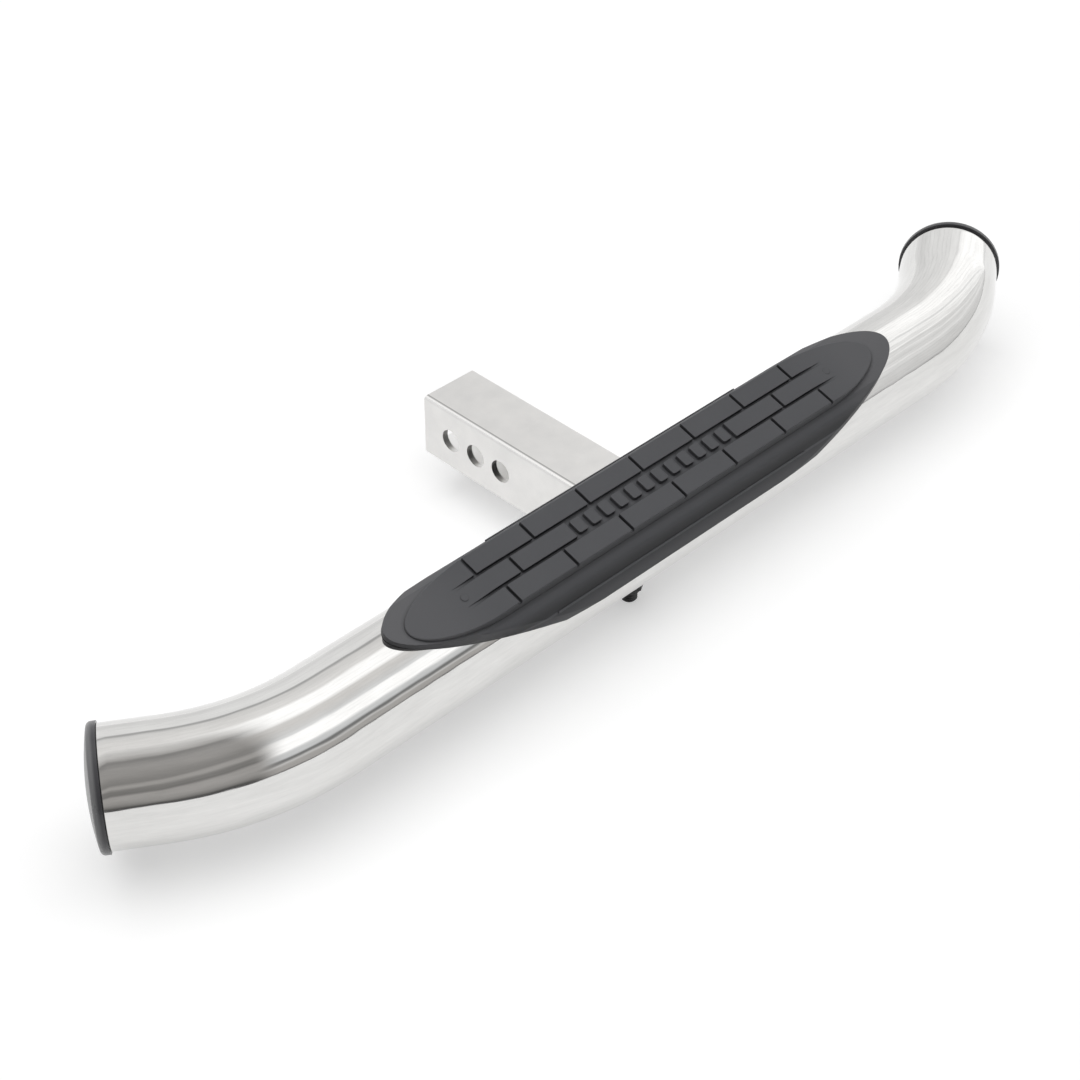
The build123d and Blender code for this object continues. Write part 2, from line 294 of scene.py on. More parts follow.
def smooth_step(tree, source, start, end, low=0.0, high=1.0):
    """Goes smoothly from low to high while the source goes from start to end."""
    node = add_node(
        tree, "ShaderNodeMapRange", interpolation_type="SMOOTHSTEP",
        from_min=start, from_max=end, to_min=low, to_max=high,
    )
    tree.links.new(source, node.inputs["Value"])
    return node.outputs["Result"]


def bump(tree, height, distance, strength, normal=None):
    """A bump from a height, in metres, on top of another normal if one is given."""
    node = add_node(tree, "ShaderNodeBump", distance=distance, strength=strength)
    tree.links.new(height, node.inputs["Height"])
    if normal is not None:
        tree.links.new(normal, node.inputs["Normal"])
    return node.outputs["Normal"]


def object_place(tree):
    """The Object coordinates as one vector, followed by its X, Y and Z."""
    place = add_node(tree, "ShaderNodeTexCoord").outputs["Object"]
    split = add_node(tree, "ShaderNodeSeparateXYZ")
    tree.links.new(place, split.inputs[0])
    return place, *split.outputs


def streaks(tree, along, stretch):
    """Noise drawn out into lines: stretch gives its cells a metre along each coordinate."""
    mapping = add_node(tree, "ShaderNodeMapping", scale=stretch)
    noise = add_node(tree, "ShaderNodeTexNoise", scale=1.0, detail=3.0, roughness=0.7)
    tree.links.new(along, mapping.inputs["Vector"])
    tree.links.new(mapping.outputs["Vector"], noise.inputs["Vector"])
    return noise.outputs["Fac"]


def sockets(group, way, **kinds):
    """Gives a node group named inputs or outputs; a number or colour sets an input's default."""
    for name, value in kinds.items():
        kind = "NodeSocketColor" if isinstance(value, tuple) else "NodeSocketFloat"
        socket = group.interface.new_socket(label(name), in_out=way, socket_type=kind)
        if way == "INPUT":
            socket.default_value = (*value, 1.0) if isinstance(value, tuple) else value


def new_group(name, inputs, outputs):
    """Makes an empty node group and returns it with its input and output nodes."""
    group = bpy.data.node_groups.new(name, "ShaderNodeTree")
    sockets(group, "INPUT", **inputs)
    sockets(group, "OUTPUT", **outputs)
    return group, group.nodes.new("NodeGroupInput"), group.nodes.new("NodeGroupOutput")


def place_group(tree, group, **values):
    """Puts a node group into a material with its own values."""
    node = tree.nodes.new("ShaderNodeGroup")
    node.node_tree = group
    for name, value in values.items():
        colour_given = hasattr(value, "__len__")
        node.inputs[label(name)].default_value = (*value, 1.0) if colour_given else value
    return node


def patchy_tint_group():
    """Two colours mixed by soft clouds in object coordinates; puts out the colour and the mask."""
    name = "Patchy tint"
    if name in bpy.data.node_groups:
        return bpy.data.node_groups[name]
    group, into, out = new_group(
        name,
        dict(tint=(0.8, 0.8, 0.8), dull_tint=(0.6, 0.6, 0.6), size=20.0, contrast=0.5),
        dict(color=(0.0, 0.0, 0.0), mask=0.0),
    )
    place = add_node(group, "ShaderNodeTexCoord").outputs["Object"]
    cloud = add_node(group, "ShaderNodeTexNoise", detail=4.0, roughness=0.6)
    connect(group, cloud, vector=place, scale=into.outputs["Size"])
    # mask = (cloud - 0.5) x contrast + 0.5
    contrast = into.outputs["Contrast"]
    middle = add_math(group, "MULTIPLY_ADD", contrast, -0.5, 0.5)
    mask = add_math(group, "MULTIPLY_ADD", cloud.outputs["Fac"], contrast, middle, clamp=True)
    tint = mix_colour(group, mask, into.outputs["Tint"], into.outputs["Dull Tint"])
    connect(group, out, color=tint, mask=mask)
    return group


def moulded_grain_group():
    """Fine pimples and wide soft sinks of a moulding, as one height in object coordinates."""
    name = "Moulded grain"
    if name in bpy.data.node_groups:
        return bpy.data.node_groups[name]
    group, into, out = new_group(name, dict(size=2200.0, sink=0.25), dict(height=0.0))
    place = add_node(group, "ShaderNodeTexCoord").outputs["Object"]
    fine = add_node(group, "ShaderNodeTexNoise", detail=3.0, roughness=0.65)
    wide = add_node(group, "ShaderNodeTexNoise", scale=60.0, detail=1.0)
    connect(group, fine, vector=place, scale=into.outputs["Size"])
    connect(group, wide, vector=place)
    # height = wide x sink + fine
    height = add_math(
        group, "MULTIPLY_ADD", wide.outputs["Fac"], into.outputs["Sink"], fine.outputs["Fac"]
    )
    connect(group, out, height=height)
    return group


def new_material(name):
    """A new node material with its tree and its Principled shader."""
    material = bpy.data.materials.new(name)
    material.use_nodes = True
    shader = material.node_tree.nodes["Principled BSDF"]
    return material, material.node_tree, shader


# Finishes

# Cells a metre of the patterns on the tube, along it and round it.
DRAW_LINES = (6.0, 900.0, 1.0)
SLOW_WAVE = (9.0, 26.0, 1.0)
HAZE_STREAKS = (34.0, 240.0, 1.0)
# Cells a metre of the fine lines on the bar, in X, Y and Z.
BAR_LINES = (1100.0, 14.0, 1100.0)


def polished_steel(settings):
    """Mirror polish with faint draw lines along the tube, a soft haze and a slow wave."""
    material, tree, shader = new_material("polished stainless")
    patch = place_group(
        tree, patchy_tint_group(),
        tint=settings.tint, dull_tint=settings.dull_tint, size=9.0, contrast=1.6,
    )
    along = add_node(tree, "ShaderNodeUVMap", uv_map="along").outputs["UV"]
    lines = streaks(tree, along, DRAW_LINES)
    wave = streaks(tree, along, SLOW_WAVE)
    hazy = streaks(tree, along, HAZE_STREAKS)
    shade = range_of(tree, hazy, 1.0 - settings.haze / 2, 1.0 + settings.haze / 2)
    tint = mix_colour(tree, 1.0, patch.outputs["Color"], shade, "MULTIPLY")
    gloss = range_of(tree, lines, settings.roughness * 0.5, settings.roughness * 1.6)
    slow = bump(tree, wave, distance=0.002, strength=settings.wave)
    fine = bump(tree, lines, distance=0.00002, strength=0.25, normal=slow)
    shader.inputs["Metallic"].default_value = 1.0
    connect(tree, shader, base_color=tint, roughness=gloss, normal=fine)
    return material


def satin_steel(settings):
    """Satin steel with cloudy patches and fine lines along the bar, a painted highlight on its long
    corners, a painted dark reflection line beside the left ones and painted light inside.

    Masks from the distance to the bar's axis in X and in Z: X past the corner's start and Z past
    more than half of it gets the painted highlight, X just short of the left corners is a thin
    painted dark reflection line on the top and bottom, and both short of the wall is the inside,
    which painted light makes paler.
    """
    material, tree, shader = new_material("satin stainless")
    patch = place_group(
        tree, patchy_tint_group(),
        tint=settings.tint, dull_tint=settings.dull_tint, size=55.0, contrast=1.5,
    )
    place, x, _, z = object_place(tree)
    lines = streaks(tree, place, BAR_LINES)
    across = add_math(tree, "ABSOLUTE", x)
    height = add_math(tree, "ABSOLUTE", add_math(tree, "SUBTRACT", z, BAR_LEVEL))
    left = add_math(tree, "MULTIPLY", x, -1.0)
    half, blur = BAR_SIDE / 2, settings.blur
    start = half - settings.corner
    # Painted highlight on the long corners: past ridge in height and past the corner's start
    # across.
    ridge = half - settings.rubbed * settings.corner
    hollow = half - settings.wall + blur
    highlight_side = smooth_step(tree, across, start + blur, start + 2 * blur)
    highlight_top = smooth_step(tree, height, ridge, ridge + blur)
    corner = add_math(tree, "MULTIPLY", highlight_side, highlight_top)
    # Painted reflection: a thin dark line just short of the left corners only, on the top and
    # bottom.
    near_side = smooth_step(tree, left, start, start + blur)
    near_top = smooth_step(tree, height, start, start + blur)
    before = smooth_step(tree, left, start - 3 * blur, start - 2 * blur)
    beside = add_math(tree, "SUBTRACT", before, near_side)
    dull = add_math(tree, "MULTIPLY", beside, near_top)
    # Painted light: the inside of the bar, painted paler against its shade.
    inner_side = smooth_step(tree, across, hollow, hollow + blur, 1.0, 0.0)
    inner_top = smooth_step(tree, height, hollow, hollow + blur, 1.0, 0.0)
    inside = add_math(tree, "MULTIPLY", inner_side, inner_top)
    # The colour of the painted dark reflection line.
    dull_tint = (*(settings.dark_reflection_line * part for part in settings.dull_tint), 1.0)
    tint = mix_colour(tree, corner, patch.outputs["Color"], (*settings.edge_highlight_tint, 1.0))
    tint = mix_colour(tree, dull, tint, dull_tint)
    tint = mix_colour(tree, inside, tint, (*settings.inside_painted_light_tint, 1.0))
    satin = range_of(tree, lines, settings.roughness * 0.85, settings.roughness * 1.2)
    gloss = add_math(tree, "MULTIPLY", satin, range_of(tree, corner, 1.0, 0.5))
    fine = bump(tree, lines, distance=0.00003, strength=0.3)
    shader.inputs["Metallic"].default_value = 1.0
    connect(tree, shader, base_color=tint, roughness=gloss, normal=fine)
    return material


# Degrees from the pad's middle about the tube's axis over which each of the pad's masks changes.
SKIRT_BEGINS = (33, 36)
FOLD_ENDS = (46, 49)
# From here down to LOW_BAND_STRENGTH they place the painted shade on the skirt.
BAND_DEEPENS = (37, 50)
BAND_ENDS = (52.6, 53.6)
LOW_BAND_BEGINS = (55.2, 56.2)
LOW_BAND_FADES = (57, 69)
LOW_BAND_STRENGTH = 0.6
# Metres from the tube's axis, square to the pad, and from the pad's middle along the tube.
# The flange these mark gets a painted sheen.
FLANGE_TOP = (0.0428, 0.0434)
FLANGE_BEGINS = (0.16, 0.205)
# Metres beyond the tube's end.
# The cap faces this marks get a painted sheen.
CAP_FACE_BEGINS = (0.0015, 0.004)
# How far from a facing wall the painted shade of a moulding's corners still reaches, in metres.
CORNER_REACH = 0.003


def pad_places(tree, roll):
    """Masks of the skirt, its fold, the band of painted shade under that and the flange round the
    tread's ends.

    The skirt begins about 34 degrees from the pad's middle about the tube's axis. The fold lies 36
    to 46 degrees from it, and the band from there to the bead at 54 degrees, with a fainter one
    just below the bead. The flange lies lower than the tread, measured square to the pad, and near
    the pad's ends, where the tread has half of its mask.
    """
    _, x, y, z = object_place(tree)
    front = add_math(tree, "SUBTRACT", TUBE_CENTRE.y, y)
    up = add_math(tree, "SUBTRACT", z, TUBE_CENTRE.z)
    turned = add_math(tree, "SUBTRACT", add_math(tree, "ARCTAN2", front, up), roll)
    from_middle = add_math(tree, "ABSOLUTE", turned)

    def at_angle(degrees, low=0.0, high=1.0):
        """A mask that changes between two angles from the pad's middle."""
        return smooth_step(tree, from_middle, *map(math.radians, degrees), low, high)

    skirt = at_angle(SKIRT_BEGINS)
    fold = add_math(tree, "MULTIPLY", skirt, at_angle(FOLD_ENDS, 1.0, 0.0))
    upper = add_math(tree, "MULTIPLY", at_angle(BAND_DEEPENS), at_angle(BAND_ENDS, 1.0, 0.0))
    lower = at_angle(LOW_BAND_BEGINS, 0.0, LOW_BAND_STRENGTH)
    band = add_math(tree, "MULTIPLY_ADD", lower, at_angle(LOW_BAND_FADES, 1.0, 0.0), upper)
    rise = add_math(tree, "MULTIPLY", up, math.cos(roll))
    height = add_math(tree, "MULTIPLY_ADD", front, math.sin(roll), rise)
    low = smooth_step(tree, height, *FLANGE_TOP, 1.0, 0.0)
    outer = smooth_step(tree, add_math(tree, "ABSOLUTE", x), *FLANGE_BEGINS)
    flange = add_math(tree, "MULTIPLY", range_of(tree, low, 0.5, 1.0), outer)
    return skirt, fold, band, flange


def cap_faces(tree, tube):
    """Mask of the caps' domed faces, from the distance beyond the tube's end along its axis."""
    end = tube_axis(np.array([tube_half(tube)]), tube)[0][0]
    _, x, y, _ = object_place(tree)
    out = add_math(tree, "SUBTRACT", add_math(tree, "ABSOLUTE", x), float(end[0]))
    back = add_math(tree, "SUBTRACT", y, float(end[1]))
    past = add_math(tree, "MULTIPLY", back, math.sin(tube.bend_angle))
    beyond = add_math(tree, "MULTIPLY_ADD", out, math.cos(tube.bend_angle), past)
    return smooth_step(tree, beyond, *CAP_FACE_BEGINS)


def moulding(name, settings):
    """Starts a moulded rubber or plastic with its gloss, grain and softened edges.

    Returns the material, its nodes and shader, the patchy colour, the painted shade of its corners,
    from ambient occlusion, and the node that softens its edges; the colour is left to be linked.
    """
    material, tree, shader = new_material(name)
    patch = place_group(
        tree, patchy_tint_group(),
        tint=settings.tint, dull_tint=settings.dull_tint, size=28.0, contrast=1.4,
    )
    grain = place_group(tree, moulded_grain_group(), size=settings.grain, sink=settings.sink)
    # Painted shade: ambient occlusion darkens the colour in corners and grooves.
    corner = add_node(
        tree, "ShaderNodeAmbientOcclusion", samples=8, only_local=True, distance=CORNER_REACH
    )
    shade = range_of(tree, corner.outputs["AO"], settings.crevice_shade, 1.0)
    soft = add_node(tree, "ShaderNodeBevel", samples=6, radius=settings.rounding)
    rough = bump(tree, grain.outputs["Height"], settings.relief, 0.5, soft.outputs["Normal"])
    low, high = settings.roughness * 0.92, settings.roughness * 1.08
    gloss = range_of(tree, patch.outputs["Mask"], low, high)
    shader.inputs["Specular IOR Level"].default_value = settings.sheen
    connect(tree, shader, roughness=gloss, normal=rough)
    return material, tree, shader, patch.outputs["Color"], shade, soft


def pad_rubber(settings):
    """Charcoal rubber with a painted sheen on its flange, painted light on its skirt and painted
    shade under the fold, which is softer.
    """
    material, tree, shader, tint, shade, soft = moulding("pad rubber", settings)
    skirt, fold, band, flange = pad_places(tree, settings.roll)
    radius = range_of(tree, fold, settings.rounding, settings.fold_rounding)
    # Painted sheen on the flange round the tread's ends.
    tint = mix_colour(tree, flange, tint, (*settings.flange_sheen_tint, 1.0))
    # Painted shade under the skirt's fold and below its bead.
    shade = add_math(tree, "MULTIPLY", shade, range_of(tree, band, 1.0, settings.band))
    # Painted light: the skirt, short of the flange, is painted paler.
    inner = add_math(tree, "SUBTRACT", skirt, flange, clamp=True)
    shade = add_math(tree, "MULTIPLY", shade, range_of(tree, inner, 1.0, settings.skirt))
    connect(tree, soft, radius=radius)
    connect(tree, shader, base_color=mix_colour(tree, 1.0, tint, shade, "MULTIPLY"))
    return material


def cap_plastic(settings, tube):
    """Charcoal plastic with a painted sheen that makes the caps' domed faces paler."""
    material, tree, shader, tint, shade, _ = moulding("cap plastic", settings)
    # Painted sheen on the domed faces.
    tint = mix_colour(tree, cap_faces(tree, tube), tint, (*settings.face_sheen_tint, 1.0))
    connect(tree, shader, base_color=mix_colour(tree, 1.0, tint, shade, "MULTIPLY"))
    return material


def black_coating(settings):
    """Black coated steel, rubbed paler in patches."""
    material, tree, shader = new_material("black coating")
    patch = place_group(
        tree, patchy_tint_group(),
        tint=settings.tint, dull_tint=settings.worn_tint, size=420.0, contrast=2.2,
    )
    grain = place_group(tree, moulded_grain_group(), size=3000.0, sink=0.1)
    gloss = range_of(
        tree, patch.outputs["Mask"], settings.roughness, settings.roughness * 0.75
    )
    rough = bump(tree, grain.outputs["Height"], distance=0.00004, strength=0.5)
    shader.inputs["Metallic"].default_value = 0.35
    connect(tree, shader, base_color=patch.outputs["Color"], roughness=gloss, normal=rough)
    return material


def dress(material, *nodes):
    """Gives CAD nodes a material in place of their packed one."""
    for name in nodes:
        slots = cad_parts[name].data.materials
        slots.clear()
        slots.append(material)


# Shapes

SHARP_ANGLE = math.radians(40)
THREAD_SHARP_ANGLE = math.radians(28)
# Rings of the tube on half of its straight run, a bend, an end and a rounded end edge.
STRAIGHT_RINGS, BEND_RINGS, END_RINGS, EDGE_RINGS = 28, 60, 8, 6
# Steps round each rod that cuts the tube, and where rods begin and end in tube radii.
ROD_STEPS = 48
ROD_OUTER, ROD_INNER, WINDOW_INNER = 1.3, 0.7, 0.2
# Steps round the bolt, and rings to one turn of its thread.
BOLT_STEPS, RINGS_PER_TURN = 96, 12


def grid_faces(rows, columns, close_rows=False, flip=False):
    """Corner numbers of the quads of a grid of rings, whose points are numbered ring by ring."""
    row = np.arange(rows if close_rows else rows - 1)
    row, column = np.meshgrid(row, np.arange(columns), indexing="ij")
    next_row, next_column = (row + 1) % rows, (column + 1) % columns
    corners = (
        row * columns + column,
        row * columns + next_column,
        next_row * columns + next_column,
        next_row * columns + column,
    )
    return np.stack(corners[::-1] if flip else corners, axis=-1).reshape(-1, 4)


def end_faces(rows, columns):
    """Two faces that close the first and the last ring of a grid of rings."""
    ring = np.arange(columns)
    return [ring.tolist(), ((rows - 1) * columns + ring[::-1]).tolist()]


def mesh_object(name, points, faces, material, sharp=SHARP_ANGLE):
    """A smooth mesh object at the origin from arrays of points and of face corners."""
    mesh = bpy.data.meshes.new(name)
    mesh.from_pydata(points.reshape(-1, 3).tolist(), [], faces)
    mesh.materials.append(material)
    mesh.shade_smooth()
    mesh.set_sharp_from_angle(angle=sharp)
    mesh.update()
    piece = bpy.data.objects.new(name, mesh)
    bpy.context.scene.collection.objects.link(piece)
    return piece


def bend_end(settings):
    """Distance along the tube's axis from its middle to the end of a bend."""
    return settings.straight_half + settings.bend_radius * settings.bend_angle


def tube_half(settings):
    """Half of the length of the tube's axis."""
    return bend_end(settings) + settings.end_straight


def tube_axis(s, settings):
    """Point and side direction of the tube's axis at signed distance s from its middle.

    The axis is straight to the bend, then an arc of the bend radius, then straight again: past the
    bend's start the turned angle is the distance over the radius, held at the full bend angle. The
    side direction is +Y, turned with the axis.
    """
    run, side = np.abs(s), np.sign(s)
    radius = settings.bend_radius
    turn = np.clip((run - settings.straight_half) / radius, 0, settings.bend_angle)
    rest = np.maximum(run - bend_end(settings), 0)
    x = np.minimum(run, settings.straight_half) + radius * np.sin(turn) + rest * np.cos(turn)
    y = radius * (1 - np.cos(turn)) + rest * np.sin(turn)
    still = np.zeros_like(s)
    point = np.stack([side * x, y, still], axis=-1) + np.array(TUBE_CENTRE)
    across = np.stack([-side * np.sin(turn), np.cos(turn), still], axis=-1)
    return point, across


def polished_tube(settings):
    """The bent tube as a closed shell: rings of points carried along the axis.

    Ring i stands at distance s_i along the axis with radius r_i: out along the outside, round the
    end edge, back along the bore and round the other end edge. Its point at angle a is the axis
    point plus r x (cos a across plus sin a up).
    """
    half, rounding = tube_half(settings), settings.end_round
    stations = (0, settings.straight_half, bend_end(settings), half - rounding)
    run = np.concatenate([
        np.linspace(stations[0], stations[1], STRAIGHT_RINGS),
        np.linspace(stations[1], stations[2], BEND_RINGS)[1:],
        np.linspace(stations[2], stations[3], END_RINGS)[1:],
    ])
    outside = np.concatenate([-run[:0:-1], run])
    edge = np.linspace(0, np.pi / 2, EDGE_RINGS)[1:]
    edge_s = half - rounding + rounding * np.sin(edge)
    edge_r = TUBE_RADIUS - rounding + rounding * np.cos(edge)
    bore = TUBE_RADIUS - settings.wall
    inside = np.concatenate([[half], outside[::-1], [-half]])
    s = np.concatenate([outside, edge_s, inside, -edge_s[::-1]])
    r = np.concatenate([
        np.full(len(outside), TUBE_RADIUS), edge_r, np.full(len(inside), bore), edge_r[::-1],
    ])
    turn = np.linspace(-np.pi, np.pi, settings.facets, endpoint=False)
    point, across = tube_axis(s, settings)
    up = np.array([0.0, 0.0, 1.0])
    spoke = np.cos(turn)[None, :, None] * across[:, None, :] + np.sin(turn)[None, :, None] * up
    points = point[:, None, :] + r[:, None, None] * spoke
    faces = grid_faces(len(s), len(turn), close_rows=True).tolist()
    piece = mesh_object("polished_tube", points, faces, polished_steel(settings))
    loops = np.zeros(len(piece.data.loops), int)
    piece.data.loops.foreach_get("vertex_index", loops)
    row, column = np.divmod(loops, len(turn))
    layer = piece.data.uv_layers.new(name="along")
    uv = np.stack([s[row], turn[column] * TUBE_RADIUS], axis=-1)
    layer.data.foreach_set("uv", uv.ravel())
    return piece


def cutting_rods(settings, roll):
    """Points and faces of the rods that cut the pegs' holes, the bolt's hole and the bar's window.

    Rod k goes out from place c_k, on the tube's axis or, for the window, level with the bar, in
    direction d_k: forward of upwards by the pad's roll for a peg, straight down for the bolt and
    straight back for the window. Its point at angle a and distance t is c plus t x d plus f along X
    plus g along d x X. For a round rod f is the radius x cos a and g the radius x sin a; for the
    window each quarter turn is also moved out to its corner.
    """
    pegs = settings.outer_pegs, settings.inner_pegs
    x = np.array([-pegs[0], -pegs[1], pegs[1], pegs[0], BOLT_CENTRE.x, 0.0])
    count = len(x)
    round_rods = count - 1
    peg_rods = round_rods - 1
    peg, bolt, corner = settings.peg_hole / 2, settings.bolt_hole / 2, settings.window_corner
    radius = np.array([peg] * peg_rods + [bolt, corner])[:, None]
    lean = np.array([roll] * peg_rods + [math.pi, -math.pi / 2])
    level = np.array([0.0] * round_rods + [BAR_LEVEL - TUBE_CENTRE.z])
    flat = BAR_SIDE / 2 + settings.window_clearance - corner
    shift = np.array([0.0] * round_rods + [flat])[:, None]
    still = np.zeros_like(x)
    way = np.stack([still, -np.sin(lean), np.cos(lean)], axis=-1)
    along = np.array([1.0, 0.0, 0.0])
    across = np.cross(way, along)
    corner_steps = ROD_STEPS // 4
    quarter, step = np.divmod(np.arange(ROD_STEPS), corner_steps)
    even = np.linspace(0, 2 * np.pi, ROD_STEPS, endpoint=False)
    cornered = (quarter + step / (corner_steps - 1)) * np.pi / 2
    turn = np.stack([even] * round_rods + [cornered])
    f = shift * np.array([1, -1, -1, 1])[quarter] + radius * np.cos(turn)
    g = shift * np.array([1, 1, -1, -1])[quarter] + radius * np.sin(turn)
    ring = f[:, :, None] * along + g[:, :, None] * across[:, None, :]
    inner = np.array([ROD_INNER] * round_rods + [WINDOW_INNER])
    reach = TUBE_RADIUS * np.stack([np.full(count, ROD_OUTER), inner], axis=-1)
    centre = np.array(TUBE_CENTRE) + np.stack([x, still, level], axis=-1)
    middle = centre[:, None, :] + reach[:, :, None] * way[:, None, :]
    points = middle[:, :, None, :] + ring[:, None, :, :]
    side = grid_faces(2, ROD_STEPS, flip=True)
    ends = np.array(end_faces(2, ROD_STEPS))
    first = 2 * ROD_STEPS * np.arange(count)[:, None, None]
    faces = (side + first).reshape(-1, 4).tolist()
    return points, faces + (ends + first).reshape(-1, ROD_STEPS).tolist()


def cut_tube(piece, settings, roll):
    """Cuts the bar's window and the holes for the pad's pegs and the clamp bolt out of the tube."""
    rods = mesh_object("rods", *cutting_rods(settings, roll), piece.data.materials[0])
    cut = piece.modifiers.new("holes", "BOOLEAN")
    cut.object, cut.operation, cut.solver = rods, "DIFFERENCE", "MANIFOLD"
    graph = bpy.context.evaluated_depsgraph_get()
    whole, ready = piece.data, piece.evaluated_get(graph)
    drilled = bpy.data.meshes.new_from_object(
        ready, preserve_all_data_layers=True, depsgraph=graph
    )
    if len(drilled.vertices) in (0, len(whole.vertices)):
        raise RuntimeError("the tube's holes were not cut")
    piece.modifiers.clear()
    piece.data = drilled
    bpy.data.objects.remove(rods)
    bpy.data.meshes.remove(whole)
    drilled.name = piece.name
    drilled.set_sharp_from_angle(angle=SHARP_ANGLE)


def threaded_bolt(settings, material):
    """A hexagon bolt with a real thread, as rings of points from the head down to the tip.

    Ring i has a level z_i and a radius that depends on the angle: on the head it is the hexagon's
    radius, half the flats over the cosine of the angle from the nearest flat's middle, cut down by
    the chamfer; on the thread it is the outside radius less the depth times a triangle wave of
    level over pitch plus angle over a full turn; elsewhere it is the shank's radius.
    """
    turn = np.linspace(0, 2 * np.pi, BOLT_STEPS, endpoint=False)
    flat, radius = settings.across_flats / 2, settings.diameter / 2
    hexagon = flat / np.cos((turn + np.pi / 6) % (np.pi / 3) - np.pi / 6)
    top, tip = bolt_high.z, bolt_low.z
    under = top - settings.head_height
    chamfer = settings.head_chamfer
    start, pitch = tip + settings.thread_length, settings.thread_pitch
    rise = np.linspace(start, tip, RINGS_PER_TURN * int(settings.thread_length / pitch))
    wave = (rise[:, None] / pitch + turn[None, :] / (2 * np.pi)) % 1.0
    cut = settings.thread_depth * (1 - np.abs(2 * wave - 1))
    lead = np.clip((start - rise) / pitch, 0, 1)[:, None]
    taper = np.minimum(radius, radius - settings.tip_chamfer + (rise - tip))[:, None]
    thread = np.minimum(radius - cut * lead, taper)
    round_ring = np.ones_like(turn)
    head = np.stack([
        (flat - chamfer * 0.4) * round_ring,
        np.minimum(hexagon, flat + chamfer * 0.2),
        hexagon,
        hexagon,
        radius * round_ring,
    ])
    rings = np.concatenate([head, thread])
    z = np.concatenate([[top, top - chamfer * 0.35, top - chamfer, under, under], rise])
    points = np.stack([
        BOLT_CENTRE.x + rings * np.cos(turn),
        BOLT_CENTRE.y + rings * np.sin(turn),
        np.broadcast_to(z[:, None], rings.shape),
    ], axis=-1)
    faces = grid_faces(len(z), len(turn), flip=True).tolist()
    faces += end_faces(len(z), len(turn))
    return mesh_object("threaded_bolt", points, faces, material, sharp=THREAD_SHARP_ANGLE)


# Stage

# Degrees about the X axis from overhead, towards the front; brightness; warmth of the grey.
DARK_FRONT = (
    (-100, 1.02, 0.0), (-80, 0.88, 0.0), (-64, 1.04, 0.0), (-50, 0.96, 0.0), (-47, 0.52, 0.0),
    (-45, 0.52, 0.0), (-42, 0.86, 0.0), (-30, 0.95, 0.01), (-16, 0.96, 0.01), (-11, 0.78, 0.01),
    (-5, 0.68, 0.015), (1, 0.48, 0.02), (3, 0.30, 0.02), (6, 0.32, 0.02), (13, 0.41, 0.025),
    (24, 0.39, 0.03), (32, 0.32, 0.03), (39, 0.29, 0.03), (42.5, 0.44, 0.03), (46, 0.44, 0.03),
    (50, 0.27, 0.03), (57, 0.23, 0.03), (61, 0.43, 0.03), (70, 0.44, 0.03), (78, 0.36, 0.03),
    (83, 0.24, 0.03), (86, 0.10, 0.02), (90, 0.10, 0.0),
)
STRIP_LIGHTS = (
    (-100, 1.02, 0.0), (-80, 0.86, 0.0), (-68, 0.98, 0.0), (-50, 1.0, 0.0), (-47, 0.50, 0.0),
    (-44, 0.50, 0.0), (-41, 0.84, 0.01), (-28, 0.92, 0.01), (-18, 0.98, 0.01), (-14, 1.42, 0.0),
    (8, 1.42, 0.0), (13, 0.90, 0.015), (20, 0.82, 0.02), (31, 0.84, 0.0), (36, 0.92, -0.01),
    (40, 1.42, 0.0), (58, 1.42, 0.0), (61.5, 0.84, -0.012), (69, 0.76, -0.015),
    (71.5, 0.24, 0.0), (74.5, 0.24, 0.0), (77.5, 0.74, 0.01), (80.5, 0.50, 0.03),
    (87.5, 0.48, 0.03), (89, 0.20, 0.01), (90, 0.20, 0.01),
)
PALE_SIDE = (
    (-100, 1.02, 0.0), (-80, 0.90, 0.0), (-60, 0.97, 0.0), (-44, 1.02, 0.0), (-36, 1.10, 0.0),
    (-31, 1.42, 0.0), (-4, 1.42, 0.0), (0, 1.25, 0.0), (4, 1.42, 0.0), (8, 1.0, -0.005),
    (12, 1.38, 0.0), (18, 1.22, 0.0), (23, 1.08, 0.0), (26.5, 1.38, 0.0), (29, 0.97, 0.0),
    (36, 0.99, 0.0), (40, 1.12, 0.0), (44, 0.93, 0.0), (50, 0.96, 0.0), (55, 1.08, 0.0),
    (60, 0.98, 0.0), (66, 0.89, 0.0), (80, 0.84, 0.003), (84.5, 0.86, 0.0), (86, 0.68, 0.0),
    (87.5, 0.86, 0.0), (88.7, 0.42, 0.0), (90, 0.42, 0.0),
)
# Degrees either side of overhead that the strips cover.
STRIP_LIMIT = 100
# Degrees of lean over which the dark front ends, the pale side begins and the thin lines grow.
DARK_BORDER, PALE_BORDER, LINE_BORDER = (6, 16), (30, 43), (15, 45)
# Change of the dark front's border with the angle about the X axis.
BORDER_TILT = 0.2
# Part of the wave that is a line, how far the lines cover the strips, and their grey.
LINE_WIDTH = (0.90, 1.0)
LINE_DEPTH = (0.10, 0.34)
LINE_GREY = (0.45, 0.45, 0.45, 1.0)
DOME_ROWS, DOME_COLUMNS = 32, 96


def strip_ramp(tree, place, stops):
    """Brightness along the dome from a list of stops; place goes from 0 to 1 over the strips."""
    ramp = add_node(tree, "ShaderNodeValToRGB")
    elements = ramp.color_ramp.elements
    while len(elements) < len(stops):
        elements.new(0.5)
    for element, (degrees, level, warmth) in zip(elements, stops):
        element.position = (degrees + STRIP_LIMIT) / (2 * STRIP_LIMIT)
        element.color = (level * (1 + warmth), level, level * (1 - warmth), 1.0)
    tree.links.new(place, ramp.inputs["Fac"])
    return ramp.outputs["Color"]


